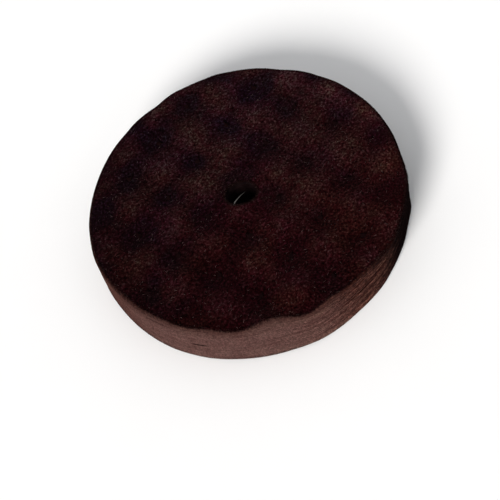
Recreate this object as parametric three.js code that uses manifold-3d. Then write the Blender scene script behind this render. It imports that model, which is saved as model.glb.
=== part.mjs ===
// A tufted felt polishing wheel: a stack of round felt plies with a centre bore, quilted together
// by thread ties that pull dimples into the napped felt on both faces.
// Millimetres. The wheel lies flat: +Z is the spindle axis and the origin is the wheel's centre.

import * as THREE from 'three';
import { mergeVertices } from 'three/addons/utils/BufferGeometryUtils.js';
import Module from 'manifold-3d';

const wasm = await Module();
wasm.setup();

// ---- driving dimensions ----
const WHEEL_DIAMETER = 150;
const WHEEL_THICKNESS = 25;
const BORE_DIAMETER = 16;
const FACE_PLY_PITCH = 3.75;   // share of the thickness taken by each napped outer ply
const INNER_PLIES = 14;
const PLY_GAP = 0.1;           // loft between neighbouring plies

const TUFT_PITCH = 24;         // the ties stand on a square grid
const TUFT_OFFSET = new THREE.Vector2(6.7, 8.7);   // one grid point, seen from the bore axis
const TUFT_INNER_RADIUS = 14;  // nearer ties would be cut through by the bore
const TUFT_OUTER_RADIUS = 66;  // ties further out would tear out of the rim

const DIMPLE_DEPTH = 3.0;      // the felt left under each knot is FACE_PLY_PITCH less this
const DIMPLE_MOUTH_RADIUS = 5.5;
const DIMPLE_FLOOR_RADIUS = 1.7;
const DIMPLE_OVERSHOOT = 0.5;  // how far a dimple's cutter reaches above the face
const NEEDLE_HOLE_RADIUS = 1.2;   // from the middle to a corner of the square hole
const NEEDLE_HOLE_TURN = THREE.MathUtils.degToRad(20);
const THREAD_RADIUS = 0.5;
const KNOT_RADIUS = 1.5;
const KNOT_HEIGHT = 1.8;
const KNOT_SHOULDER_RADIUS = 1.05;
const KNOT_SHOULDER_RISE = 0.2;   // from either end of a knot to its shoulder
const KNOT_CLEARANCE = 0.3;    // between a knot and the dimple's floor

// ---- how finely round things are cut ----
const RIM_SIDES = 48;
const BORE_SIDES = 24;
const NEEDLE_HOLE_SIDES = 4;
const DIMPLE_SIDES = 10;
const THREAD_SIDES = 6;

// ---- worked out from the dimensions above ----
const HALF_THICKNESS = WHEEL_THICKNESS / 2;
const CORE_THICKNESS = WHEEL_THICKNESS - 2 * FACE_PLY_PITCH;
const INNER_PITCH = CORE_THICKNESS / INNER_PLIES;
const DIMPLE_FLOOR_Z = HALF_THICKNESS - DIMPLE_DEPTH;

// ---- materials ----
const faceFelt = new THREE.MeshStandardMaterial({ color: 0x24100f, roughness: 0.97, metalness: 0 });
const plyFelt = new THREE.MeshStandardMaterial({ color: 0x5d433e, roughness: 0.95, metalness: 0 });
const tieThread = new THREE.MeshStandardMaterial({ color: 0x2b1a17, roughness: 0.8, metalness: 0 });

// The ties' places: the grid points between the bore and the rim, row by row.
function tuftPlaces() {
  const places = [];
  const reach = Math.ceil(TUFT_OUTER_RADIUS / TUFT_PITCH) + 1;
  for (let row = -reach; row <= reach; row += 1) {
    for (let column = -reach; column <= reach; column += 1) {
      const place = new THREE.Vector2(column, row).multiplyScalar(TUFT_PITCH).add(TUFT_OFFSET);
      const fromAxis = place.length();
      if (fromAxis > TUFT_INNER_RADIUS && fromAxis < TUFT_OUTER_RADIUS) {
        places.push(place);
      }
    }
  }
  return places;
}

// The corners of a regular polygon around a centre, the first one turned from +X.
function ringPoints(radius, sides, centre = new THREE.Vector2(), turn = 0) {
  const points = [];
  for (let side = 0; side < sides; side += 1) {
    const angle = turn + (2 * Math.PI * side) / sides;
    points.push(new THREE.Vector2(Math.cos(angle), Math.sin(angle)).multiplyScalar(radius).add(centre));
  }
  return points;
}

// A flat felt disc with its bore and needle holes, from z = 0 up to the thickness.
function plyGeometry(thickness, tufts) {
  const outline = new THREE.Shape(ringPoints(WHEEL_DIAMETER / 2, RIM_SIDES));
  outline.holes.push(new THREE.Path(ringPoints(BORE_DIAMETER / 2, BORE_SIDES)));
  for (const place of tufts) {
    const corners = ringPoints(NEEDLE_HOLE_RADIUS, NEEDLE_HOLE_SIDES, place, NEEDLE_HOLE_TURN);
    outline.holes.push(new THREE.Path(corners));
  }
  return new THREE.ExtrudeGeometry(outline, { depth: thickness, bevelEnabled: false });
}

// The flared space that a tie pulls into the face, from its floor to just above the face.
function dimpleCutter(place) {
  const flare = (DIMPLE_MOUTH_RADIUS - DIMPLE_FLOOR_RADIUS) / DIMPLE_DEPTH;
  const topRadius = DIMPLE_MOUTH_RADIUS + DIMPLE_OVERSHOOT * flare;
  const height = DIMPLE_DEPTH + DIMPLE_OVERSHOOT;
  const cutter = new THREE.CylinderGeometry(topRadius, DIMPLE_FLOOR_RADIUS, height, DIMPLE_SIDES);
  cutter.rotateX(Math.PI / 2);
  cutter.translate(place.x, place.y, DIMPLE_FLOOR_Z + height / 2);
  return cutter;
}

// A closed geometry as a solid that can be cut.
function toSolid(geometry) {
  const bare = geometry.clone();
  bare.deleteAttribute('normal');
  bare.deleteAttribute('uv');
  const merged = mergeVertices(bare);
  return new wasm.Manifold(new wasm.Mesh({
    numProp: 3,
    vertProperties: Float32Array.from(merged.attributes.position.array),
    triVerts: Uint32Array.from(merged.index.array),
  }));
}

// A cut solid as a geometry again.
function toGeometry(solid) {
  const mesh = solid.getMesh();
  const geometry = new THREE.BufferGeometry();
  geometry.setAttribute('position', new THREE.BufferAttribute(mesh.vertProperties, 3));
  geometry.setIndex(new THREE.BufferAttribute(mesh.triVerts, 1));
  geometry.computeVertexNormals();
  return geometry;
}

// The napped outer ply of the front face, in place, with a dimple around each needle hole.
function facePlyGeometry(tufts) {
  const thickness = FACE_PLY_PITCH - PLY_GAP / 2;
  const disc = plyGeometry(thickness, tufts);
  disc.translate(0, 0, HALF_THICKNESS - thickness);
  let solid = toSolid(disc);
  for (const place of tufts) {
    solid = solid.subtract(toSolid(dimpleCutter(place)));
  }
  return toGeometry(solid);
}

// One thread tie: a shank through every ply, with a knot in the dimple at each end.
function tieGeometry() {
  const seat = DIMPLE_FLOOR_Z + KNOT_CLEARANCE;
  const top = seat + KNOT_HEIGHT;
  const upper = [
    [THREAD_RADIUS, seat],
    [KNOT_SHOULDER_RADIUS, seat + KNOT_SHOULDER_RISE],
    [KNOT_RADIUS, seat + KNOT_HEIGHT / 2],
    [KNOT_SHOULDER_RADIUS, top - KNOT_SHOULDER_RISE],
    [0, top],
  ];
  const lower = upper.map(([radius, z]) => [radius, -z]).reverse();
  const profile = [...lower, ...upper].map(([radius, z]) => new THREE.Vector2(radius, z));
  return new THREE.LatheGeometry(profile, THREAD_SIDES).rotateX(Math.PI / 2);
}

// Adds a named mesh to a group.
function addMesh(group, name, geometry, material) {
  const mesh = new THREE.Mesh(geometry, material);
  mesh.name = name;
  group.add(mesh);
  return mesh;
}

const numbered = (stem, number) => `${stem}_${String(number).padStart(2, '0')}`;

// ---- the wheel ----
const wheel = new THREE.Group();
const tufts = tuftPlaces();

addMesh(wheel, 'front_face_ply', facePlyGeometry(tufts), faceFelt);

// Turning the back ply over X reverses its Y, so its dimples are cut at the reversed places.
const turnedTufts = tufts.map((place) => new THREE.Vector2(place.x, -place.y));
const backFace = addMesh(wheel, 'back_face_ply', facePlyGeometry(turnedTufts), faceFelt);
backFace.rotation.x = Math.PI;

for (let ply = 0; ply < INNER_PLIES; ply += 1) {
  const geometry = plyGeometry(INNER_PITCH - PLY_GAP, tufts);
  const mesh = addMesh(wheel, numbered('felt_ply', ply + 1), geometry, plyFelt);
  mesh.position.z = -CORE_THICKNESS / 2 + ply * INNER_PITCH + PLY_GAP / 2;
}

tufts.forEach((place, index) => {
  const tie = addMesh(wheel, numbered('tie_stitch', index + 1), tieGeometry(), tieThread);
  tie.position.set(place.x, place.y, 0);
});

export default wheel;
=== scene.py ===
"""A tufted felt polishing wheel, lying on a pale floor.

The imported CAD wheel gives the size, the plies and the places of the ties. Each flat CAD ply is
replaced by a felt disc that follows the dimples pulled in by the ties, and each plain tie by a
twisted thread with a knot at both ends. Short hairs lie on the felt. Lengths are metres, in the CAD's
own frame.
"""

import math

import bpy
import numpy as np
from mathutils import Matrix, Vector


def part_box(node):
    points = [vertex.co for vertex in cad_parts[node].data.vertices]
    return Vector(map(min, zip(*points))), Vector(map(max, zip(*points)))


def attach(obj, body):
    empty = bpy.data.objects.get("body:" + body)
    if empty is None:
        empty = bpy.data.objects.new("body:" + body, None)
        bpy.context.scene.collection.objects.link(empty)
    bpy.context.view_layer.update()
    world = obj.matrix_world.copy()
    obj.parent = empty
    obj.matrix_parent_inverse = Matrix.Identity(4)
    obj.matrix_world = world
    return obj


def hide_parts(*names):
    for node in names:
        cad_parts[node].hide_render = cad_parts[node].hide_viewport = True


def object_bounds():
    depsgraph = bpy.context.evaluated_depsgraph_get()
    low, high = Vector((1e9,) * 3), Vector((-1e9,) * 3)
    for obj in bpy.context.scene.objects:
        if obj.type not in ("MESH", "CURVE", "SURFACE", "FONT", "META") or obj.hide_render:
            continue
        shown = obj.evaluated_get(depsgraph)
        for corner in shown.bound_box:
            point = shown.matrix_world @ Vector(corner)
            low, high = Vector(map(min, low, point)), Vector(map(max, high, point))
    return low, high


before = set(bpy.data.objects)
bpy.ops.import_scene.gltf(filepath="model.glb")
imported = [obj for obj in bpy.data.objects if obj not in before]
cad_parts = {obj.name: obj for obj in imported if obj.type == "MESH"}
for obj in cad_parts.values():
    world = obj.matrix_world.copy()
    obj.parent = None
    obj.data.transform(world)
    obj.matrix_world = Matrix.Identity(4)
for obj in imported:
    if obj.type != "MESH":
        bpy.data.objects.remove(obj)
cad_low, cad_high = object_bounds()

MM = 0.001

# ---- what the frame says ----
RADIUS = cad_high.x
HALF = cad_high.z
INNER_PLIES = sorted(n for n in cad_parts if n.startswith("felt_ply_"))
TIES = sorted(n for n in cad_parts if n.startswith("tie_stitch_"))


def middle(node):
    """The middle of a CAD node's box."""
    low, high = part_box(node)
    return (low + high) / 2


def bore_radius():
    """The distance from the axis to the nearest point of an inner ply."""
    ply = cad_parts[INNER_PLIES[0]].data
    return min(math.hypot(v.co.x, v.co.y) for v in ply.vertices)


BORE = bore_radius()
TIE_PLACES = np.array([tuple(middle(n).xy) for n in TIES])
PITCH = float(np.linalg.norm(TIE_PLACES[1:] - TIE_PLACES[0], axis=1).min())

# ---- the camera ----
VIEW_AZIMUTH = math.radians(-36.4)
VIEW_ELEVATION = math.radians(53.7)
VIEW_ROLL = math.radians(22.1)
VIEW_ANGLE = math.radians(16.0)
VIEW_DISTANCE = 11.063 * RADIUS
VIEW_OFFSET = (0.045 * RADIUS, -0.353 * RADIUS)  # how far the camera stands right of and above the axis

# ---- the light and the floor ----
KEY_AZIMUTH = math.radians(198)
KEY_ELEVATION = math.radians(30)
KEY_SOFTNESS = math.radians(22)
KEY_ENERGY = 4.0
KEY_TINT = (1.0, 0.975, 0.95)
SURROUND = 0.52  # how strong the even light from all sides is
SURROUND_TINT = (0.97, 0.98, 1.0)
FLOOR_REACH = 30 * RADIUS
FLOOR_BEND = 5 * RADIUS
WALL_HEIGHT = 6.5 * RADIUS
FAR_GLOW = 0.45  # how brightly the floor's far parts glow
FLOOR_GAP = 0.1 * MM
FLOOR_SIDES = 96
FLOOR_BEND_STEPS = 9

# ---- the felt's relief ----
DIMPLE_DEPTH = 2.6 * MM
DIMPLE_SHARPNESS = 1.25  # above 1 the pits are narrower than the crowns
DIMPLE_UNEVENNESS = 0.18  # the share by which the dimples differ in depth
UNEVENNESS_SIZE = 26 * MM  # over what distance they do
PINCH_DEPTH = 0.4 * MM  # an extra narrow pit right at each tie
PINCH_WIDTH = 1.5 * MM
WARP = 1.3 * MM  # how far the quilting wanders from its grid
WARP_SIZE = 30 * MM  # over what distance it does
SIDE_STEP = 50 * MM  # how far apart the two faces lie in the random fields
RIM_CALM = 0.22  # the faces keep this share of their relief at the rim
RIM_ZONE = 22 * MM  # the stretch over which they calm down,
RIM_EDGE = 2 * MM  # and the last stretch, where such a change is complete
BORE_CALM = 0.35  # and this share at the bore
BORE_ZONE = 12 * MM
LOOSE_ANGLE = math.radians(220)  # but on one side the front's rim is loose,
LOOSE_SPREAD = math.radians(36)
LOOSE_SWELL = 1.30  # its relief is deeper
LOOSE_LIFT = 2.2 * MM  # and its crowns stand up
LOOSE_ZONE = 24 * MM  # over this stretch
CROWN_SHARPNESS = 2.5  # the higher, the narrower
EDGE_ROLL = 0.5 * MM  # how far the faces roll down at the rim
EDGE_ROLL_ZONE = 7 * MM

# ---- the rim's outline, wear, dirt and painted light and shade, and the mouth of the bore ----
# Where the rim strays from a true circle: the angle and the spread in degrees, and how far it stands
# out at the bottom and at the top in millimetres.
STRAYS = [
    (10, 4, 0.0, 0.3),
    (21, 4, 0.0, -0.6),
    (46, 4, 0.0, 0.7),
    (47, 22, 0.6, 1.3),
    (64, 4, 0.0, 0.6),
    (72, 3, 0.0, -0.5),
    (82, 4, 0.0, 0.5),
    (112, 10, -0.3, -0.5),
    (147, 9, 0.75, 0.4),
    (170, 15, 0.0, -0.6),
    (210, 24, 0.3, -1.2),
    (230, 6, 0.0, -1.9),
    (238, 8, 1.0, 0.0),
    (277, 14, 0.0, 3.2),
    (285, 16, -0.5, 0.0),
    (301, 12, -0.3, 2.2),
    (304, 5, 0.9, 0.1),
    (314, 7, -1.4, -0.2),
]
STRAY_ZONE = 14 * MM  # the outer stretch that strays with the rim
STRAY_CURVE = 1.5  # how late on the way up the top's share sets in
BORE_LIP = 0.75 * MM  # how far the front face closes in over the bore
BORE_LEAN = 1.3 * MM  # and how much further on one side
BORE_LEAN_ANGLE = math.radians(273)
BORE_SQUEEZE = 0.6 * MM  # it is also pressed a little oval
BORE_SQUEEZE_ANGLE = math.radians(210)
BORE_LIP_DEPTH = 3.0 * MM  # how far down and how far out all this reaches
BORE_LIP_ZONE = 7 * MM
SMOOTH_ANGLE = math.radians(198)  # the rim is pressed smooth here
SMOOTH_SPREAD = math.radians(57)
SMOOTH_AMOUNT = 0.85  # 1 would leave no fraying at all
RIM_LIGHT_ANGLE = math.radians(5)  # the crowns of the nap at the rim are painted pale here, a painted highlight, and painted darker opposite
RIM_LIGHT_ZONE = 14 * MM
SKIRT = 9 * MM  # the stretch of the rim below the front face that is painted darker: painted shade under the face's edge
# Darker stretches of the rim, for dirt and for painted shade: the angle and the spread in degrees, and the
# amount. The stretches at 260 and 300 degrees are painted shade on the rim's shaded side.
DIRT_AND_PAINTED_SHADE = [
    (80, 30, 0.35),
    (158, 16, 0.30),
    (260, 18, 0.32),
    (300, 25, 1.4),
    (338, 24, 0.6),
]


def smoothstep(low, high, value):
    """0 at low and 1 at high, with an easy start and end. low may be the larger of the two."""
    share = np.clip((value - low) / (high - low), 0, 1)
    return share * share * (3 - 2 * share)


def make_noise(seed, cells=32):
    """A smooth random field: noise(points, size) gives -1 to 1 with bumps about size across."""
    table = np.random.default_rng(seed).uniform(-1, 1, (cells, cells, cells))

    def noise(points, size):
        scaled = np.asarray(points, float) / size
        cell = np.floor(scaled).astype(int)
        part = scaled - cell
        part = part * part * (3 - 2 * part)
        total = 0
        for corner in np.ndindex(2, 2, 2):
            weight = np.prod(np.where(corner, part, 1 - part), axis=-1)
            index = (cell + np.array(corner)) % cells
            total = total + weight * table[index[..., 0], index[..., 1], index[..., 2]]
        return total

    return noise


wander_x = make_noise(11)
wander_y = make_noise(12)
uneven = make_noise(13)
lumps = make_noise(14)
edges = make_noise(15)
tones = make_noise(16)


def stacked(*parts):
    """Arrays of the same spread, or numbers, as points along a new last axis."""
    return np.stack(np.broadcast_arrays(*parts), axis=-1)


def window(angle, where, spread, power):
    """1 at an angle and falling to 0 on both sides. The power is even: above 2 the top is flatter."""
    turn = np.angle(np.exp(1j * (angle - where)))
    return np.exp(-((turn / spread) ** power))


def quilting(x, y, side):
    """The quilting's pull at (x, y), from 0 on a crown to 1 at a tie. side: 1 is the front, -1 the back."""
    spot = stacked(x, y, side * SIDE_STEP)
    u = (x + WARP * wander_x(spot, WARP_SIZE) - TIE_PLACES[0, 0]) / PITCH
    v = (y + WARP * wander_y(spot, WARP_SIZE) - TIE_PLACES[0, 1]) / PITCH
    return 0.5 + 0.25 * (np.cos(2 * np.pi * u) + np.cos(2 * np.pi * v))


def strayed(x, y, level):
    """Where a point of a true round wheel goes: the rim strays and the bore's mouth closes in."""
    radius, angle = np.hypot(x, y), np.arctan2(y, x)
    height = np.clip(0.5 + 0.5 * level / HALF, 0, 1) ** STRAY_CURVE
    shift = 0
    for where, spread, below, above in STRAYS:
        share = window(angle, math.radians(where), math.radians(spread), 2)
        shift = shift + share * (below + (above - below) * height) * MM
    shift = shift * smoothstep(RADIUS - STRAY_ZONE, RADIUS, radius)
    lip = BORE_LIP + BORE_LEAN * np.cos(angle - BORE_LEAN_ANGLE)
    lip = lip + BORE_SQUEEZE * np.cos(2 * (angle - BORE_SQUEEZE_ANGLE))
    near_bore = smoothstep(BORE + BORE_LIP_ZONE, BORE, radius)
    shift = shift - lip * near_bore * smoothstep(HALF - BORE_LIP_DEPTH, HALF, level)
    return x * (1 + shift / radius), y * (1 + shift / radius)


def dimple_depth(x, y, side):
    """How far the quilting pulls a face in. It is negative where a crown stands up at the front's rim."""
    radius = np.hypot(x, y)
    pull = quilting(x, y, side)
    unevenness = DIMPLE_UNEVENNESS * uneven(stacked(x, y, side * SIDE_STEP), UNEVENNESS_SIZE)
    depth = DIMPLE_DEPTH * pull**DIMPLE_SHARPNESS * (1 + unevenness)
    depth = depth * (BORE_CALM + (1 - BORE_CALM) * smoothstep(BORE, BORE + BORE_ZONE, radius))
    loose = window(np.arctan2(y, x), LOOSE_ANGLE, LOOSE_SPREAD, 4) * (side > 0)
    at_rim = RIM_CALM * (1 - loose) + LOOSE_SWELL * loose
    near_rim = smoothstep(RADIUS - RIM_ZONE, RADIUS - RIM_EDGE, radius)
    crown = (1 - pull) ** CROWN_SHARPNESS * smoothstep(RADIUS - LOOSE_ZONE, RADIUS, radius)
    return depth * (1 - near_rim + at_rim * near_rim) - LOOSE_LIFT * loose * crown


def pinch_depth(x, y):
    """The narrow pits right at the ties."""
    total = 0
    for tie_x, tie_y in TIE_PLACES:
        away = (x - tie_x) ** 2 + (y - tie_y) ** 2
        total = total + PINCH_DEPTH * np.exp(-away / (2 * PINCH_WIDTH**2))
    return total


def settled(x, y, level):
    """The height that felt at a level of the flat stack takes once the ties pull the faces in."""
    side = np.where(level < 0, -1.0, 1.0)
    share = np.abs(level) / HALF
    roll = EDGE_ROLL * smoothstep(RADIUS - EDGE_ROLL_ZONE, RADIUS, np.hypot(x, y)) ** 2
    # The pits fade out soonest on the way from a face to the middle of the stack, and the dimples last.
    pulled = dimple_depth(x, y, side) * share**2 + roll * share**3 + pinch_depth(x, y) * share**8
    return level - side * pulled


def wear(angle):
    """How open and frayed the rim's plies are round the wheel: 0 is pressed smooth and 1 is frayed."""
    return 1 - SMOOTH_AMOUNT * window(angle, SMOOTH_ANGLE, SMOOTH_SPREAD, 4)


def painted_rim_light(x, y, side):
    """How the crowns of the nap near the rim are painted: 0 is painted darker, 0.5 is as elsewhere and 1 is
    painted pale, a painted highlight.
    """
    at_rim = smoothstep(RADIUS - RIM_LIGHT_ZONE, RADIUS - RIM_EDGE, np.hypot(x, y))
    return 0.5 + 0.5 * at_rim * (1 - quilting(x, y, side)) * np.cos(np.arctan2(y, x) - RIM_LIGHT_ANGLE)


def dirt_and_painted_shade_at(angle):
    """How dark the rim is painted round the wheel, from 0 to 1, for dirt and for painted shade."""
    total = 0
    for where, spread, amount in DIRT_AND_PAINTED_SHADE:
        total = total + amount * window(angle, math.radians(where), math.radians(spread), 2)
    return np.clip(total, 0, 1)


# ---- meshes ----
def signed_volume(points, faces):
    a = points[faces[:, 0]]
    total = 0.0
    for second in range(1, faces.shape[1] - 1):
        b, c = points[faces[:, second]], points[faces[:, second + 1]]
        total += float((a * np.cross(b, c)).sum())
    return total / 6


def mesh_piece(name, points, faces, material, attributes=None):
    """A smooth-shaded mesh whose faces, all with the same number of corners, point outwards."""
    points = np.asarray(points, float).reshape(-1, 3)
    faces = np.asarray(faces, int)
    if signed_volume(points, faces) < 0:
        faces = faces[:, ::-1]
    mesh = bpy.data.meshes.new(name)
    mesh.vertices.add(len(points))
    mesh.vertices.foreach_set("co", points.astype(np.float32).ravel())
    mesh.loops.add(faces.size)
    mesh.loops.foreach_set("vertex_index", faces.astype(np.int32).ravel())
    mesh.polygons.add(len(faces))
    mesh.polygons.foreach_set("loop_start", np.arange(0, faces.size, faces.shape[1], dtype=np.int32))
    mesh.update(calc_edges=True)
    mesh.shade_smooth()
    for key, values in (attributes or {}).items():
        layer = mesh.attributes.new(key, "FLOAT", "POINT")
        layer.data.foreach_set("value", np.asarray(values, np.float32).ravel())
    mesh.materials.append(material)
    piece = bpy.data.objects.new(name, mesh)
    bpy.context.scene.collection.objects.link(piece)
    return piece


def closed_grid(rows, columns):
    """Quads over a grid of points that closes on itself both ways."""
    row, column = np.meshgrid(np.arange(rows), np.arange(columns), indexing="ij")
    next_row, next_column = (row + 1) % rows, (column + 1) % columns
    corners = [(row, column), (next_row, column), (next_row, next_column), (row, next_column)]
    return np.stack([r * columns + c for r, c in corners], axis=-1).reshape(-1, 4)


# ---- materials ----
class Nodes:
    """A short way to write a node material: each call adds a node and returns its output."""

    def __init__(self, name):
        self.material = bpy.data.materials.new(name)
        self.material.use_nodes = True
        self.tree = self.material.node_tree
        self.shader = self.tree.nodes["Principled BSDF"]
        self.shader.inputs["Specular IOR Level"].default_value = 0.0

    def add(self, kind, **values):
        node = self.tree.nodes.new(kind)
        for key, value in values.items():
            setattr(node, key, value)
        return node

    def feed(self, value, socket):
        """Links an output to a socket, or sets the socket to a number or a colour."""
        if isinstance(value, tuple):
            socket.default_value = (*value, 1)
        elif isinstance(value, (int, float)):
            socket.default_value = value
        else:
            self.tree.links.new(value, socket)

    def place(self):
        return self.add("ShaderNodeTexCoord").outputs["Object"]

    def stretched(self, scale):
        """Object coordinates scaled differently along each axis."""
        mapping = self.add("ShaderNodeMapping")
        mapping.inputs["Scale"].default_value = scale
        self.feed(self.place(), mapping.inputs["Vector"])
        return mapping.outputs["Vector"]

    def noise(self, size, detail=2.0, vector=None, roughness=0.5):
        """A noise value from 0 to 1 whose bumps are about size metres across."""
        node = self.add("ShaderNodeTexNoise")
        node.inputs["Scale"].default_value = 1 / size
        node.inputs["Detail"].default_value = detail
        node.inputs["Roughness"].default_value = roughness
        self.feed(vector or self.place(), node.inputs["Vector"])
        return node.outputs["Fac"]

    def slope(self, direction, width):
        """A value that rises from 0 to 1 across the object along a direction."""
        node = self.add("ShaderNodeVectorMath", operation="DOT_PRODUCT")
        node.inputs[1].default_value = Vector(direction).normalized() / width
        self.feed(self.place(), node.inputs[0])
        return self.math("ADD", node.outputs["Value"], 0.5)

    def distance(self, width):
        """A value that rises from 0 at the object's origin to 1 at a distance of width."""
        node = self.add("ShaderNodeVectorMath", operation="LENGTH")
        self.feed(self.place(), node.inputs[0])
        return self.math("DIVIDE", node.outputs["Value"], width)

    def attribute(self, name):
        return self.add("ShaderNodeAttribute", attribute_name=name).outputs["Fac"]

    def ramp(self, value, stops):
        """Colours or greys at positions from 0 to 1."""
        node = self.add("ShaderNodeValToRGB")
        elements = node.color_ramp.elements
        while len(elements) < len(stops):
            elements.new(0.5)
        for element, (position, colour) in zip(elements, stops):
            element.position = position
            element.color = (*colour, 1) if isinstance(colour, tuple) else (colour, colour, colour, 1)
        self.feed(value, node.inputs["Fac"])
        return node.outputs["Color"]

    def mix(self, factor, first, second, blend="MIX"):
        node = self.add("ShaderNodeMix", data_type="RGBA", blend_type=blend)
        for value, socket in zip((factor, first, second), (node.inputs[0], node.inputs[6], node.inputs[7])):
            self.feed(value, socket)
        return node.outputs[2]

    def times(self, colour, *others):
        """Several colours multiplied together."""
        for other in others:
            colour = self.mix(1.0, colour, other, "MULTIPLY")
        return colour

    def centred(self, value, centre, scale):
        """How far a value is above a centre, scaled."""
        return self.math("MULTIPLY", self.math("SUBTRACT", value, centre), scale)

    def math(self, operation, first, second):
        node = self.add("ShaderNodeMath", operation=operation)
        self.feed(first, node.inputs[0])
        self.feed(second, node.inputs[1])
        return node.outputs[0]

    def bump(self, height, distance, strength, under=None):
        node = self.add("ShaderNodeBump")
        node.inputs["Distance"].default_value = distance
        node.inputs["Strength"].default_value = strength
        self.feed(height, node.inputs["Height"])
        if under is not None:
            self.feed(under, node.inputs["Normal"])
        return node.outputs["Normal"]


def nap_colour(n):
    """Dark red-brown nap: tan on the crowns, blue-black in the dimples, with pale fibre ends. Part of the
    crowns' paleness is painted highlight and part of the dimples' darkness painted shade, and there is a
    painted sheen towards the back and painted shade towards one side.
    """
    # The crowns are painted paler and the dimples darker: partly the nap's own wear and tone, partly
    # painted highlight on the crowns and painted shade in the dimples.
    height = n.math("SUBTRACT", 1.0, n.attribute("dip"))
    patchy = n.math("ADD", n.noise(11 * MM, 3.0), n.noise(34 * MM, 1.0))
    worn = n.math("ADD", height, n.centred(patchy, 1.0, 1.1))
    warm = n.ramp(worn, [(0.25, (0.0078, 0.0013, 0.0017)), (0.58, (0.0122, 0.0023, 0.0026)),
                         (0.84, (0.0148, 0.0032, 0.0036)), (1.00, (0.0178, 0.0046, 0.0047))])
    cool = n.ramp(worn, [(0.25, (0.0056, 0.0020, 0.0034)), (0.58, (0.0115, 0.0029, 0.0040)),
                         (0.84, (0.0150, 0.0044, 0.0052)), (1.00, (0.0180, 0.0062, 0.0066))])
    # Painted sheen: the face is painted cooler towards the back, with a random drift.
    sheen_towards_back = n.slope((0.3, 0.95, 0), 2 * RADIUS)
    drift = n.math("ADD", sheen_towards_back, n.math("SUBTRACT", n.noise(25 * MM, 2.0), 0.5))
    base = n.mix(n.ramp(drift, [(0.30, 0.0), (0.75, 1.0)]), warm, cool)
    pile = n.ramp(n.noise(1.05 * MM, 3.0, roughness=0.7),
                  [(0.35, (0.16, 0.03, 0.07)), (0.44, (0.60, 0.38, 0.44)), (0.52, 1.0),
                   (0.60, (1.75, 2.35, 2.25)), (0.70, (3.7, 6.0, 5.6))])
    blush = n.ramp(n.noise(2.6 * MM, 2.0), [(0.35, (1.08, 0.80, 0.90)), (0.65, (0.95, 1.22, 1.05))])
    hue = n.ramp(n.noise(17 * MM, 1.0), [(0.36, (0.99, 0.92, 1.13)), (0.64, (1.02, 1.06, 0.92))])
    # Painted highlight on the crowns at the rim on one side, and painted darkening on the other.
    painted_light = n.ramp(n.attribute("rim_crown_light"),
                    [(0.0, (0.50, 0.43, 0.46)), (0.5, 1.0), (1.0, (1.70, 1.80, 1.55))])
    # Painted shade: the face is painted darker towards one side.
    painted_side_shade = n.ramp(n.slope((-0.8, 0.6, 0), 2 * RADIUS), [(0.5, 1.0), (0.9, (0.76, 0.68, 0.70))])
    return n.times(base, pile, blush, hue, painted_light, painted_side_shade)


def cut_edge_colour(n):
    """The paler colour of cut felt, with fine streaks along the plies where it is frayed."""
    patches = n.ramp(n.noise(6 * MM, 3.0),
                     [(0.30, (0.063, 0.0305, 0.0268)), (0.70, (0.077, 0.0410, 0.0355))])
    streaks = n.noise(4.2 * MM, 3.0, n.stretched((1, 1, 6)), 0.7)
    broad_streaks = n.noise(14 * MM, 2.0, n.stretched((1, 1, 9)))
    grain = n.ramp(n.noise(0.9 * MM, 3.0, roughness=0.75), [(0.35, 0.62), (0.50, 1.0), (0.65, 1.50)])
    fine = n.ramp(streaks, [(0.35, 0.42), (0.50, 1.0), (0.63, 1.55)])
    broad = n.ramp(broad_streaks, [(0.30, (0.72, 0.60, 0.56)), (0.50, 1.0), (0.70, (1.14, 1.22, 1.10))])
    flecks = n.ramp(n.noise(1.6 * MM, 2.0, n.stretched((1, 1, 2.2)), 0.6),
                    [(0.36, 0.50), (0.50, 1.0), (0.64, 1.7)])
    frayed = n.times(fine, broad, flecks)
    surface = n.mix(n.ramp(n.attribute("wear"), [(0.15, 0.08), (0.9, 1.0)]), (1.0, 1.0, 1.0), frayed)
    toned = n.ramp(n.attribute("tone"), [(0.0, (0.50, 0.38, 0.36)), (0.5, 1.0), (1.0, (1.35, 1.42, 1.36))])
    # Painted shade: the grooves between plies and the insides of partings are painted darker.
    grooves = n.ramp(n.attribute("groove"), [(0.0, 1.0), (0.5, 0.62), (1.0, 0.22)])
    # Painted shade: the rim is painted darker just below the front face.
    skirt = n.math("ADD", n.attribute("skirt"), n.centred(streaks, 0.5, 0.5))
    painted_skirt_shade = n.ramp(skirt, [(0.15, (0.56, 0.50, 0.48)), (0.50, (0.82, 0.80, 0.78)), (0.90, 1.0)])
    # Painted highlight: a thin pale line along the rim's lower edge.
    painted_light = n.ramp(n.slope((0, 0, -1), 2 * HALF), [(0.92, 1.0), (0.965, (1.10, 1.42, 1.42))])
    return n.times(patches, surface, grain, toned, grooves, painted_skirt_shade, painted_light)


def dirt_and_shade_tint(n, amount, tint_half, tint_full):
    """A tint that goes from white through a half to a full one as the darkening grows, with a broken edge.
    It stands for dirt and for painted shade.
    """
    broken = n.centred(n.noise(6 * MM, 4.0, n.stretched((1, 1, 3))), 0.5, 1.1)
    spread = n.math("MULTIPLY", amount, n.math("ADD", broken, 1.0))
    return n.ramp(spread, [(0.0, 1.0), (0.4, tint_half), (0.85, tint_full)])


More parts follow.
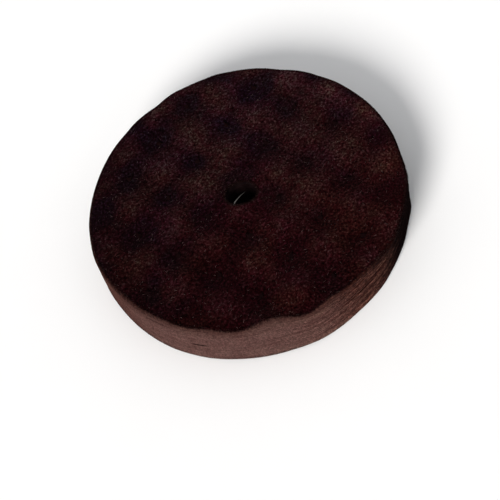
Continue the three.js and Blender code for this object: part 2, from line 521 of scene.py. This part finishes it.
def felt_material():
    """Felt for every ply: nap on the faces, a cut edge where the cut attribute is 1, and a bore wall
    painted near black: painted shade.
    """
    n = Nodes("felt")
    fray = n.centred(n.noise(1.0 * MM, 3.0), 0.5, 1.5)
    cut = n.ramp(n.math("ADD", n.attribute("cut"), fray), [(0.28, 0.0), (0.85, 1.0)])
    # The rim's darker stretches: dirt, and painted shade on its shaded side.
    dirt_and_shade_colour = dirt_and_shade_tint(n, n.attribute("dirt_and_painted_shade_mask"), (0.74, 0.56, 0.50), (0.050, 0.040, 0.040))
    colour = n.mix(cut, nap_colour(n), n.times(cut_edge_colour(n), dirt_and_shade_colour))
    # Painted shade: the bore's wall is painted near black.
    bore = n.ramp(n.attribute("bore"), [(0.25, 0.0), (0.8, 1.0)])
    painted_bore_shade = n.ramp(n.noise(2.5 * MM, 3.0),
                   [(0.35, (0.0029, 0.0012, 0.0014)), (0.65, (0.0068, 0.0032, 0.0034))])
    n.feed(n.mix(bore, colour, painted_bore_shade), n.shader.inputs["Base Color"])
    n.shader.inputs["Roughness"].default_value = 0.95
    n.shader.inputs["Sheen Weight"].default_value = 0.012
    n.shader.inputs["Sheen Roughness"].default_value = 0.5
    n.shader.inputs["Sheen Tint"].default_value = (0.75, 0.62, 0.72, 1)
    fuzz = n.bump(n.noise(0.5 * MM, 4.0), 0.2 * MM, 0.8)
    streaks = n.bump(n.noise(2.0 * MM, 2.0, n.stretched((1, 1, 8))), 0.2 * MM, 0.5, fuzz)
    n.feed(streaks, n.shader.inputs["Normal"])
    return n.material


def thread_material():
    """Dark waxed thread, a little paler along its high strands."""
    n = Nodes("waxed_thread")
    fibres = n.noise(0.3 * MM, 3.0)
    n.feed(n.ramp(fibres, [(0.3, (0.0035, 0.0014, 0.0017)), (0.7, (0.0085, 0.0034, 0.0038))]),
           n.shader.inputs["Base Color"])
    n.feed(n.ramp(fibres, [(0.3, 0.6), (0.7, 0.85)]), n.shader.inputs["Roughness"])
    n.feed(n.bump(fibres, 0.08 * MM, 0.8), n.shader.inputs["Normal"])
    return n.material


def fibre_material(name, dark, middle_tone, pale):
    """Loose fibres: each has a shade of its own."""
    n = Nodes(name)
    base = n.ramp(n.attribute("shade"), [(0.0, dark), (0.7, middle_tone), (1.0, pale)])
    uneven_dye = n.ramp(n.noise(1.2 * MM, 2.0), [(0.3, 0.8), (0.7, 1.15)])
    n.feed(n.times(base, uneven_dye), n.shader.inputs["Base Color"])
    n.shader.inputs["Roughness"].default_value = 0.85
    return n.material


def floor_material():
    """A pale matt floor. Its far parts glow a little, so that the wall's shade isn't grey."""
    n = Nodes("floor")
    n.feed(n.ramp(n.noise(60 * MM, 2.0), [(0.3, 0.875), (0.7, 0.885)]), n.shader.inputs["Base Color"])
    n.shader.inputs["Roughness"].default_value = 0.9
    n.shader.inputs["Emission Color"].default_value = (1, 1, 1, 1)
    glow = n.ramp(n.distance(FLOOR_REACH), [(0.55, 0.0), (0.75, FAR_GLOW)])
    n.feed(glow, n.shader.inputs["Emission Strength"])
    return n.material


# ---- the camera, the floor and the light ----
def make_camera():
    azimuth, elevation = VIEW_AZIMUTH, VIEW_ELEVATION
    level_back = Vector((math.sin(azimuth), -math.cos(azimuth), 0))
    back = level_back * math.cos(elevation) + Vector((0, 0, math.sin(elevation)))
    level_right = Vector((math.cos(azimuth), math.sin(azimuth), 0))
    level_up = back.cross(level_right)
    right = level_right * math.cos(VIEW_ROLL) - level_up * math.sin(VIEW_ROLL)
    up = level_right * math.sin(VIEW_ROLL) + level_up * math.cos(VIEW_ROLL)
    data = bpy.data.cameras.new("camera")
    data.sensor_width = 36
    data.lens = data.sensor_width / 2 / math.tan(VIEW_ANGLE / 2)
    data.clip_start = 0.01
    camera = bpy.data.objects.new("camera", data)
    face_centre = Vector((0, 0, HALF))
    spot = face_centre + right * VIEW_OFFSET[0] + up * VIEW_OFFSET[1] + back * VIEW_DISTANCE
    turn = Matrix((right, up, back)).transposed()
    camera.matrix_world = Matrix.Translation(spot) @ turn.to_4x4()
    bpy.context.scene.collection.objects.link(camera)
    bpy.context.scene.camera = camera


def make_floor():
    """A pale round floor that bends up into a low wall far away, so that all behind the wheel is pale."""
    bend = np.linspace(0, np.pi / 2, FLOOR_BEND_STEPS)
    reach = [*(FLOOR_REACH + FLOOR_BEND * np.sin(bend)), FLOOR_REACH + FLOOR_BEND]
    height = [*(FLOOR_BEND * (1 - np.cos(bend))), WALL_HEIGHT]
    angle = np.linspace(0, 2 * np.pi, FLOOR_SIDES, endpoint=False)
    ground = -HALF - FLOOR_GAP
    points = [(r * math.cos(a), r * math.sin(a), ground + z) for r, z in zip(reach, height) for a in angle]
    sides = closed_grid(len(reach), FLOOR_SIDES)[: (len(reach) - 1) * FLOOR_SIDES, ::-1]
    mesh = bpy.data.meshes.new("floor")
    mesh.from_pydata(points, [], [tuple(range(FLOOR_SIDES)), *sides.tolist()])
    mesh.materials.append(floor_material())
    floor = bpy.data.objects.new("floor", mesh)
    bpy.context.scene.collection.objects.link(floor)


def make_light():
    """A bright even surround, and a broad soft key light that comes in low."""
    world = bpy.data.worlds.new("surround")
    world.use_nodes = True
    background = world.node_tree.nodes["Background"]
    background.inputs["Color"].default_value = (*SURROUND_TINT, 1)
    background.inputs["Strength"].default_value = SURROUND
    bpy.context.scene.world = world
    data = bpy.data.lights.new("key", "SUN")
    data.energy = KEY_ENERGY
    data.angle = KEY_SOFTNESS
    data.color = KEY_TINT
    key = bpy.data.objects.new("key", data)
    level_towards = Vector((math.cos(KEY_AZIMUTH), math.sin(KEY_AZIMUTH), 0))
    towards = level_towards * math.cos(KEY_ELEVATION) + Vector((0, 0, math.sin(KEY_ELEVATION)))
    key.location = towards
    key.rotation_mode = "QUATERNION"
    key.rotation_quaternion = towards.to_track_quat("Z", "Y")
    bpy.context.scene.collection.objects.link(key)
    bpy.context.scene.view_settings.view_transform = "Standard"


make_camera()
make_floor()
make_light()

# ---- felt plies ----
PLY_SEGMENTS = 480
FACE_SEGMENTS = 640
HIDDEN_RINGS = 15
FACE_RINGS = 104
CORNER_STEPS = 9
RIM_MARGIN = 2.5 * MM  # the rings between plies keep this far from the rim,
BORE_MARGIN = 2 * MM  # and this far from the bore
SMOOTH_ROUNDING = 0.06 * MM  # of a ply's cut corners where the rim is pressed smooth
FRAYED_ROUNDING = 0.50 * MM  # and where it is frayed
NAP_RIM_ROUNDING = 1.3 * MM  # of the napped corner of the front ply at the rim
BACK_RIM_ROUNDING = 0.4 * MM  # the back ply's corner is pressed sharper
NAP_BORE_ROUNDING = 0.7 * MM
RIM_BULGE = 0.25 * MM  # the felt springs out a little past its nominal size
TRIM_ZONE = 3 * MM  # the stretch inside the rim, and round the bore, that an uneven cut moves
# Uneven cuts and lumps: how far the felt stands out or in, and how wide the bumps are.
PLY_TRIM = (0.20 * MM, 9 * MM)  # single plies, where the rim is frayed
RIM_TRIM = (0.22 * MM, 19 * MM)  # the whole rim
RIM_TRIM_STRETCH = 5  # how many times longer its bumps are across the plies
ROUGH_TRIM = (0.06 * MM, 1.6 * MM)  # the rim's fine roughness
BORE_TRIM = (0.25 * MM, 4 * MM)
FINE_LUMPS = (0.09 * MM, 1.7 * MM)
BROAD_LUMPS = (0.15 * MM, 5 * MM)
NAP_SINK = 0.2 * MM  # keeps most of the lumps below the nominal face
CUT_CLIMB = 1.2  # how strongly the cut edge's colour climbs round a napped corner
CUT_CLIMB_CURVE = 0.7
TONE_SIZE = 19 * MM  # of the paler and darker stretches of a frayed ply
TRIM_STEP = 7 * MM  # how far apart neighbouring plies lie in the random field of their cuts
TONE_STEP = 43 * MM  # and in that of their tones

# Places where two plies have parted at the rim: the number of the ply below, the angle in degrees,
# and half the length and the opening in millimetres.
PARTINGS = [
    (6, 197.5, 4.0, 0.75),
    (9, 20, 9, 0.4),
    (12, 283, 12, 0.4),
    (6, 75, 12, 0.5),
    (11, 140, 7, 0.4),
    (3, 330, 10, 0.4),
    (13, 181, 8, 0.4),
    (8, 262, 10, 0.4),
]
PARTING_DEPTH = 6 * MM  # how far in from the rim a parting reaches
PARTING_EDGE = 0.5 * MM  # and how far in it is fully open


def corner(radius, level, rounding, outward, upward):
    """Points of a rounded corner, from a ply's flat surface round to its upright wall."""
    angles = np.linspace(0, np.pi / 2, CORNER_STEPS)
    out = radius - outward * rounding * (1 - np.sin(angles))
    up = level - upward * rounding * (1 - np.cos(angles))
    return np.stack([out, up], axis=1)


def ply_section(low, high, top_rings, rim_rounding, bore_rounding, cut_rounding):
    """The closed outline of a ply as (radius, level): a top, a rim, a bottom and a bore wall."""
    hidden = np.linspace(BORE + BORE_MARGIN, RADIUS - RIM_MARGIN, HIDDEN_RINGS)
    top = hidden
    if top_rings:
        top = np.linspace(BORE + bore_rounding, RADIUS - rim_rounding, top_rings + 2)[1:-1]
    return np.concatenate([
        stacked(top, high),
        corner(RADIUS, high, rim_rounding, 1, 1),
        corner(RADIUS, low, cut_rounding, 1, -1)[::-1],
        stacked(hidden[::-1], low),
        corner(BORE, low, cut_rounding, -1, -1),
        corner(BORE, high, bore_rounding, -1, 1)[::-1],
    ])


def section_marks(top_count, napped):
    """The cut, bore and groove attributes of each point of a section. A napped top is not cut."""
    rising = np.linspace(0, 1, CORNER_STEPS)
    none, plain, hidden = np.zeros(CORNER_STEPS), np.ones(CORNER_STEPS), np.ones(HIDDEN_RINGS)
    falling, top = rising[::-1], np.ones(top_count)
    if napped:
        cut = [0 * top, CUT_CLIMB * rising**CUT_CLIMB_CURVE, plain, hidden, plain, none]
        bore = [0 * top, none, none, 0 * hidden, plain, falling]
        groove = [0 * top, none, rising, hidden, plain, none]
    else:
        cut = [top, plain, plain, hidden, plain, plain]
        bore = [0 * top, none, none, 0 * hidden, plain, plain]
        groove = [top, falling, rising, hidden, plain, plain]
    return [np.concatenate(parts) for parts in (cut, bore, groove)]


def parting_shift(x, y, level, index):
    """How far partings move a ply's top and bottom near the rim, and where they are open."""
    radius, angle = np.hypot(x, y), np.arctan2(y, x)
    near_rim = smoothstep(RADIUS - PARTING_DEPTH, RADIUS - PARTING_EDGE, radius)
    shift, gap = 0 * x, 0 * x
    for below, where, half_length, opening in PARTINGS:
        if index not in (below, below + 1):
            continue
        is_upper = index == below + 1
        facing = level < 0 if is_upper else level > 0
        parted = window(angle, math.radians(where), half_length * MM / RADIUS, 4)
        away = parted * near_rim * opening * MM / 2
        shift = shift + np.where(facing, away if is_upper else -away, 0)
        gap = np.maximum(gap, np.where(facing, parted, 0))
    return shift, gap


def bumps(noise, spot, trim):
    """A random field with the height and the width of an entry such as PLY_TRIM."""
    height, width = trim
    return height * noise(spot, width)


def nap_relief(x, y, level):
    """Small lumps and hollows of the napped felt itself."""
    spot = stacked(x, y, level)
    return bumps(lumps, spot, FINE_LUMPS) + bumps(lumps, spot + 1, BROAD_LUMPS) - NAP_SINK


def swept_section(node, napped, is_back, angle):
    """A ply's section at each angle round the axis, as the radius and the level of each point."""
    low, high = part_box(node)[0].z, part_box(node)[1].z
    sections = []
    for rounding in (SMOOTH_ROUNDING, FRAYED_ROUNDING):
        rim = bore = rounding
        if napped:
            rim = BACK_RIM_ROUNDING if is_back else NAP_RIM_ROUNDING
            bore = NAP_BORE_ROUNDING
        sections.append(ply_section(low, high, FACE_RINGS if napped else 0, rim, bore, rounding))
    blend = wear(angle)[..., None]
    section = sections[0] * (1 - blend) + sections[1] * blend
    if is_back:
        section[..., 1] = low + high - section[..., 1]
    return section[..., 0], section[..., 1]


def trimmed(x, y, radius, level, centre, index, worn):
    """Moves points near the rim and the bore in or out, as uneven cuts do.

    The same random field is read a metre further on for each kind of cut.
    """
    single = bumps(edges, stacked(x, y, index * TRIM_STEP), PLY_TRIM) * worn
    whole = bumps(edges, stacked(x, y, level / RIM_TRIM_STRETCH) + 1, RIM_TRIM) + RIM_BULGE
    rough = bumps(edges, stacked(x, y, level) + 2, ROUGH_TRIM)
    at_bore = bumps(edges, stacked(x, y, centre) + 3, BORE_TRIM)
    shift = smoothstep(RADIUS - TRIM_ZONE, RADIUS, radius) * (single + whole + rough)
    shift = shift + smoothstep(BORE + TRIM_ZONE, BORE, radius) * at_bore
    return x * (1 + shift / radius), y * (1 + shift / radius)


def ply_piece(node, index, material):
    """One felt ply: its section swept round the axis, then settled under the ties."""
    centre = middle(node).z
    napped = node not in INNER_PLIES
    is_back = napped and centre < 0
    side = 1 if centre > 0 else -1
    segments = FACE_SEGMENTS if napped else PLY_SEGMENTS
    angle = np.linspace(0, 2 * np.pi, segments, endpoint=False)[:, None]
    worn = wear(angle)

    radius, level = swept_section(node, napped, is_back, angle)
    x, y = strayed(radius * np.cos(angle), radius * np.sin(angle), level)
    x, y = trimmed(x, y, radius, level, centre, index, worn)
    parting, gap = parting_shift(x, y, level - centre, index)
    z = settled(x, y, level) + parting
    cut, bore, groove = section_marks(FACE_RINGS if napped else HIDDEN_RINGS, napped)
    if napped:
        skin = (np.abs(level) > HALF - NAP_RIM_ROUNDING) * (1 - cut)
        z = z + side * skin * nap_relief(x, y, level)

    flat = np.zeros_like(x)
    tone = 0.5 + tones(stacked(x, y, index * TONE_STEP), TONE_SIZE) * worn
    attributes = {
        "cut": flat + cut,
        "bore": flat + bore,
        "dip": quilting(x, y, side),
        "groove": groove * np.maximum(worn**2, gap),
        "tone": np.clip(tone, 0, 1),
        "rim_crown_light": painted_rim_light(x, y, side),
        "skirt": flat + np.clip((HALF - level) / SKIRT, 0, 1),
        "wear": flat + worn,
        "dirt_and_painted_shade_mask": flat + dirt_and_painted_shade_at(angle),
    }
    piece = mesh_piece("felt_" + node, stacked(x, y, z), closed_grid(*x.shape), material, attributes)
    finish_piece(piece, node)
    return piece


def finish_piece(piece, node):
    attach(piece, "root")
    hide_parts(node)


def make_plies(material):
    """The stack from the back face to the front face, each ply made in turn."""
    for index, node in enumerate(["back_face_ply", *INNER_PLIES, "front_face_ply"]):
        piece = ply_piece(node, index, material)


make_plies(felt_material())

# ---- ties ----
THREAD = 0.40 * MM  # radius
THREAD_SIDES = 8
TWIST_LENGTH = 1.6 * MM  # in which the two strands make half a turn
TWIST_GROOVE = 0.22  # the depth of the groove between the strands, as a share of the radius
NEARLY_UPRIGHT = 0.9  # where a thread is steeper than this, its rings take another reference
SHANK_STEPS = 60
KNOT_SIZE = 0.28 * MM
KNOT_SWELL = 1.1  # how thick a knot is for its size
KNOT_STEPS = 66
KNOT_LIFT = 0.35 * MM  # of a knot's middle above the felt
TAIL_STEPS = 9
TAIL_LENGTH = (1.3 * MM, 2.2 * MM)
TAIL_BEND = 0.25  # sideways, as a share of the length
TAIL_HUMP = 0.8 * MM  # a tail lies as one hump,
TAIL_HUMP_PART = (0.25, 0.85)  # of which it follows this part of the way from foot to foot
TAIL_GAP = 0.05 * MM
TAIL_THICKNESS = 0.85  # where a tail leaves the knot, as a share of the thread's
TAIL_THINNING = 0.45  # how much of it is gone at the tip
TAIL_ANGLE = (0.7 * np.pi, 1.2 * np.pi)  # between the two tails of a knot
TIE_SEED = 7


def thread_rings(line, radius, closed):
    """A two-strand thread along a line: rings of points whose lobes turn as the strands do."""
    if closed:
        ahead = np.roll(line, -1, axis=0) - np.roll(line, 1, axis=0)
    else:
        ahead = np.gradient(line, axis=0)
    ahead = ahead / np.linalg.norm(ahead, axis=1, keepdims=True)
    upright = np.abs(ahead[:, 2:]) > NEARLY_UPRIGHT
    side = np.cross(ahead, np.where(upright, [[1.0, 0, 0]], [[0, 0, 1.0]]))
    side = side / np.linalg.norm(side, axis=1, keepdims=True)
    other = np.cross(ahead, side)
    along = np.concatenate([[0], np.cumsum(np.linalg.norm(np.diff(line, axis=0), axis=1))])
    angle = np.linspace(0, 2 * np.pi, THREAD_SIDES, endpoint=False)[None, :]
    strands = np.abs(np.cos(angle - np.pi * along[:, None] / TWIST_LENGTH))
    lobes = 1 - TWIST_GROOVE + TWIST_GROOVE * strands
    reach = (np.broadcast_to(radius, len(line))[:, None] * lobes)[..., None]
    ring = np.cos(angle)[..., None] * side[:, None] + np.sin(angle)[..., None] * other[:, None]
    return line[:, None] + reach * ring


def triangles(quads):
    """Each four-cornered face as two triangles."""
    return np.concatenate([quads[:, [0, 1, 2]], quads[:, [0, 2, 3]]])


def open_tube(line, radius):
    """Points and triangles of an open thread with both of its ends closed."""
    rings = thread_rings(line, radius, closed=False)
    rows, columns = rings.shape[:2]
    points = np.concatenate([rings.reshape(-1, 3), line[:1], line[-1:]])
    sides = closed_grid(rows, columns)[: (rows - 1) * columns]
    corners = np.arange(columns)
    following = (corners + 1) % columns
    start, end, last_ring = rows * columns, rows * columns + 1, (rows - 1) * columns
    first_cap = stacked(start, corners, following)
    last_cap = stacked(end, last_ring + following, last_ring + corners)
    return points, np.concatenate([triangles(sides), first_cap, last_cap])


def knot_shell(centre, side, turn):
    """A small overhand knot, as a closed thread that winds three times through itself."""
    t = np.linspace(0, 2 * np.pi, KNOT_STEPS, endpoint=False)
    out = 2 + np.cos(3 * t)
    x, y = out * np.cos(2 * t + turn), out * np.sin(2 * t + turn)
    line = centre + KNOT_SIZE * stacked(x, y, side * KNOT_SWELL * np.sin(3 * t))
    rings = thread_rings(line, THREAD, closed=True)
    return rings.reshape(-1, 3), triangles(closed_grid(KNOT_STEPS, THREAD_SIDES))


def tail_shell(start, side, turn, length):
    """A cut end of thread that leaves the knot, comes down to the felt and thins out."""
    t = np.linspace(0, 1, TAIL_STEPS)
    out, bend = t * length, t**2 * TAIL_BEND * length
    x = start[0] + out * math.cos(turn) - bend * math.sin(turn)
    y = start[1] + out * math.sin(turn) + bend * math.cos(turn)
    lift = TAIL_HUMP * np.sin(np.pi * np.linspace(*TAIL_HUMP_PART, TAIL_STEPS)) + TAIL_GAP
    line = stacked(x, y, settled(x, y, side * HALF + 0 * t) + side * lift)
    return open_tube(line, THREAD * (TAIL_THICKNESS - TAIL_THINNING * t**3))


def joined(shells):
    """Several shells as one list of points and triangles, each shell's faces pointing outwards."""
    points, faces, count = [], [], 0
    for shell_points, shell_faces in shells:
        if signed_volume(shell_points, shell_faces) < 0:
            shell_faces = shell_faces[:, ::-1]
        points.append(shell_points)
        faces.append(shell_faces + count)
        count += len(shell_points)
    return np.concatenate(points), np.concatenate(faces)


def make_tie(node, place, dice, material):
    """A thread through the stack with a knot and two cut tails in the dimple at each end."""
    shells, ends = [], []
    for side in (1, -1):
        surface = float(settled(place[0], place[1], np.array(side * HALF)))
        centre = np.array([place[0], place[1], surface + side * KNOT_LIFT])
        turn = dice.uniform(0, 2 * np.pi)
        shells.append(knot_shell(centre, side, turn))
        for further in (0, dice.uniform(*TAIL_ANGLE)):
            shells.append(tail_shell(centre, side, turn + further, dice.uniform(*TAIL_LENGTH)))
        ends.append(centre)
    shells.append(open_tube(np.linspace(ends[0], ends[1], SHANK_STEPS), THREAD))
    piece = mesh_piece("thread_" + node, *joined(shells), material)
    finish_piece(piece, node)


def make_ties(material):
    """Every tie of the CAD, at its own place."""
    dice = np.random.default_rng(TIE_SEED)
    for node, place in zip(TIES, TIE_PLACES):
        make_tie(node, place, dice, material)


make_ties(thread_material())

# ---- loose fibres ----
HAIR_SIDES = 3
HAIR_RINGS = 3
HAIR_STEPS = (0.0, 0.35, 0.7, 1.0)  # where along a hair its rings and its tip are
HAIR_TAPER = (1.0, 0.9, 0.6)
HAIR_SIDEWAYS = (0.31, 0.17, 0.93)  # a direction that no hair runs along

# The hairs on each face: a name, the radii between which they start, which way they head (1 is away
# from the axis, -1 towards it and 0 anywhere), how many there are, their lengths and their thickness.
FACE_HAIRS = [
    ("nap", (BORE + 0.4 * MM, RADIUS - 1.2 * MM), 0, 11000, (0.5 * MM, 1.6 * MM), 0.024 * MM),
    ("rim_fringe", (RADIUS - 1.8 * MM, RADIUS - 0.2 * MM), 1, 7000, (0.7 * MM, 2.4 * MM), 0.030 * MM),
    ("bore_fringe", (BORE + 0.1 * MM, BORE + 1.0 * MM), -1, 900, (0.6 * MM, 1.6 * MM), 0.030 * MM),
]
FACE_HAIR_RISE = (0.10 * MM, 0.40 * MM)
FACE_HAIR_LIFTS = (-0.8, 0.5, 0.95, 0.55)  # the share of the rise at each step: the root is in the felt
FACE_HAIR_BEND = 0.5  # the most radians that a hair turns on its way
FRINGE_SPREAD = 1.1  # radians to either side of the way that a fringe heads
FRINGE_OVERHANG = 0.3 * MM  # how far past the rim hairs may reach
RIM_DROOP = 0.55  # how fast they bend down there
RIM_DROOP_LIMIT = 2.5 * MM
BORE_DROOP = 0.3  # the same at the bore
FACE_HAIR_RARITY = 2.5  # the higher, the fewer are pale
FACE_HAIR_SEED = 20
FACE_HAIR_SEED_STEP = 10

RIM_HAIRS = 9000
RIM_HAIR_BAND = (-HALF + 0.5 * MM, HALF - 1.6 * MM)  # the levels between which they start
RIM_HAIR_TILT = 0.5  # radians, across the plies
RIM_HAIR_LENGTH = (0.5 * MM, 1.5 * MM)
RIM_HAIR_RISE = (0.08 * MM, 0.38 * MM)
RIM_HAIR_LIFTS = (-0.9, 0.5, 0.9, 0.9)
RIM_HAIR_GAP = 0.08 * MM
RIM_HAIR_WIDTH = 0.018 * MM
RIM_HAIR_PALE_WIDTH = 0.014 * MM  # more for the palest
RIM_HAIR_DARKENING = 0.85  # how far the rim's dirt and painted shade darken them
RIM_HAIR_RARITY = 1.5
RIM_HAIR_SEED = 51

# The loose thread's way, in millimetres: it comes up the bore's wall and lies over the mouth.
LOOSE_THREAD_WAY = [(-8.3, 1.1, 9.4), (-5.3, 1.0, 11.7), (-1.1, 0.8, 11.6), (2.4, 0.9, 10.2)]
LOOSE_THREAD_STEPS = 28
LOOSE_THREAD_RADIUS = (0.34 * MM, 0.12 * MM)
LOOSE_THREAD_FADE = 0.9  # how much darker its tip is


def hair_triangles():
    """The faces of one hair: rings of points and a tip, with the root closed."""
    sides = triangles(closed_grid(HAIR_RINGS, HAIR_SIDES)[: (HAIR_RINGS - 1) * HAIR_SIDES])
    tip = HAIR_RINGS * HAIR_SIDES
    corners = np.arange(HAIR_SIDES)
    last_ring = tip - HAIR_SIDES
    point = stacked(last_ring + (corners + 1) % HAIR_SIDES, last_ring + corners, tip)
    return np.concatenate([sides, point, [corners]])


def fibre_piece(name, lines, widths, shades, material):
    """Many fine tapered hairs as one piece. lines holds a point for each of HAIR_STEPS of each hair."""
    count = len(lines)
    ahead = np.gradient(lines, axis=1)
    ahead = ahead / np.linalg.norm(ahead, axis=2, keepdims=True)
    side = np.cross(ahead, HAIR_SIDEWAYS)
    side = side / np.linalg.norm(side, axis=2, keepdims=True)
    other = np.cross(ahead, side)
    angle = np.linspace(0, 2 * np.pi, HAIR_SIDES, endpoint=False)[:, None]
    ring = np.cos(angle) * side[:, :HAIR_RINGS, None] + np.sin(angle) * other[:, :HAIR_RINGS, None]
    taper = widths[:, None] * np.array(HAIR_TAPER)
    rings = lines[:, :HAIR_RINGS, None] + taper[..., None, None] * ring
    points = np.concatenate([rings.reshape(count, -1, 3), lines[:, HAIR_RINGS:]], axis=1)
    each = points.shape[1]
    faces = (hair_triangles()[None] + each * np.arange(count)[:, None, None]).reshape(-1, 3)
    piece = mesh_piece(name, points, faces, material, {"shade": np.repeat(shades, each)})
    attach(piece, "root")


def face_hairs(name, side, start, outward, count, length, width, seed, material):
    """Hairs that lie on one face. The values from start to width are those of an entry of FACE_HAIRS."""
    dice = np.random.default_rng(seed)
    radius = np.sqrt(dice.uniform(start[0] ** 2, start[1] ** 2, count))
    angle = dice.uniform(0, 2 * np.pi, count)
    root_x, root_y = radius * np.cos(angle), radius * np.sin(angle)
    spread = dice.uniform(-1, 1, count) * (np.pi if outward == 0 else FRINGE_SPREAD)
    heading = angle + spread + (np.pi if outward < 0 else 0)
    reach = dice.uniform(*length, count)
    bend = dice.uniform(-FACE_HAIR_BEND, FACE_HAIR_BEND, count)
    rise = dice.uniform(*FACE_HAIR_RISE, count)
    level = np.full(count, side * HALF)
    points = []
    for step, lift in zip(HAIR_STEPS, FACE_HAIR_LIFTS):
        turned = heading + bend * step
        x, y = root_x + reach * step * np.cos(turned), root_y + reach * step * np.sin(turned)
        away = np.hypot(x, y)
        held = np.minimum(1, (RADIUS + FRINGE_OVERHANG) / away)
        over_rim = np.maximum(away - (RADIUS - NAP_RIM_ROUNDING), 0)
        over_bore = np.maximum(BORE + NAP_BORE_ROUNDING - away, 0)
        drop = np.minimum(RIM_DROOP * over_rim**2 / NAP_RIM_ROUNDING, RIM_DROOP_LIMIT)
        drop = drop + BORE_DROOP * over_bore
        x, y = strayed(x * held, y * held, level)
        points.append(stacked(x, y, settled(x, y, level) + side * (rise * lift - drop)))
    shades = dice.uniform(0, 1, count) ** FACE_HAIR_RARITY
    fibre_piece(name, np.stack(points, axis=1), width * (1 + shades), shades, material)


def rim_fuzz(material):
    """Short pale hairs that stand out of the cut rim, mostly along the plies."""
    dice = np.random.default_rng(RIM_HAIR_SEED)
    angle = dice.uniform(0, 2 * np.pi, RIM_HAIRS)
    level = dice.uniform(*RIM_HAIR_BAND, RIM_HAIRS)
    tilt = dice.normal(0, RIM_HAIR_TILT, RIM_HAIRS)
    reach = dice.uniform(*RIM_HAIR_LENGTH, RIM_HAIRS)
    reach = reach * np.where(dice.uniform(0, 1, RIM_HAIRS) < 0.5, 1, -1)
    rise = dice.uniform(*RIM_HAIR_RISE, RIM_HAIRS)
    points = []
    for step, lift in zip(HAIR_STEPS, RIM_HAIR_LIFTS):
        turned = angle + reach * step * np.cos(tilt) / RADIUS
        out = RADIUS + RIM_HAIR_GAP + rise * lift
        height = level + reach * step * np.sin(tilt)
        x, y = strayed(out * np.cos(turned), out * np.sin(turned), height)
        points.append(stacked(x, y, settled(x, y, height)))
    # The hairs darken with the rim's dirt and painted shade.
    undarkened = 1 - RIM_HAIR_DARKENING * dirt_and_painted_shade_at(angle)
    shades = dice.uniform(0, 1, RIM_HAIRS) ** RIM_HAIR_RARITY * undarkened
    widths = RIM_HAIR_WIDTH + RIM_HAIR_PALE_WIDTH * shades
    fibre_piece("rim_fuzz", np.stack(points, axis=1), widths, shades, material)


def loose_thread(material):
    """A pale thread end that has come loose at the lip of the bore. It darkens towards its tip."""
    way = np.array(LOOSE_THREAD_WAY) * MM
    spans = np.linspace(0, len(way) - 1, LOOSE_THREAD_STEPS)
    line = stacked(*(np.interp(spans, range(len(way)), axis) for axis in way.T))
    kernel = np.array([1, 2, 3, 2, 1]) / 9
    padded = np.pad(line, ((2, 2), (0, 0)), mode="reflect", reflect_type="odd")
    line = stacked(*(np.convolve(axis, kernel, mode="valid") for axis in padded.T))
    along = np.linspace(0, 1, LOOSE_THREAD_STEPS)
    shell = open_tube(line, np.linspace(*LOOSE_THREAD_RADIUS, LOOSE_THREAD_STEPS))
    shade = 1 - LOOSE_THREAD_FADE * along**1.5
    shades = np.concatenate([shade.repeat(THREAD_SIDES), shade[:1], shade[-1:]])
    piece = mesh_piece("loose_thread", *shell, material, {"shade": shades})
    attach(piece, "root")


def make_fibres():
    """The nap and the fringes of both faces, the fuzz of the rim and the loose thread."""
    nap = fibre_material("nap_fibre", (0.006, 0.0020, 0.0020), (0.022, 0.0085, 0.0085),
                         (0.15, 0.100, 0.096))
    fringe = fibre_material("fringe_fibre", (0.006, 0.0022, 0.0022), (0.015, 0.0060, 0.0058),
                            (0.050, 0.030, 0.028))
    fuzz = fibre_material("rim_fibre", (0.020, 0.010, 0.009), (0.075, 0.043, 0.038),
                          (0.13, 0.085, 0.078))
    pale = fibre_material("pale_thread", (0.020, 0.018, 0.017), (0.080, 0.074, 0.070),
                          (0.16, 0.15, 0.145))
    for side, face in ((1, "front"), (-1, "back")):
        for kind, (suffix, start, outward, count, length, width) in enumerate(FACE_HAIRS):
            name = f"{face}_{suffix}"
            seed = FACE_HAIR_SEED + side + FACE_HAIR_SEED_STEP * kind
            material = nap if suffix == "nap" else fringe
            face_hairs(name, side, start, outward, count, length, width, seed, material)
    rim_fuzz(fuzz)
    loose_thread(pale)


make_fibres()

bpy.context.view_layer.update()
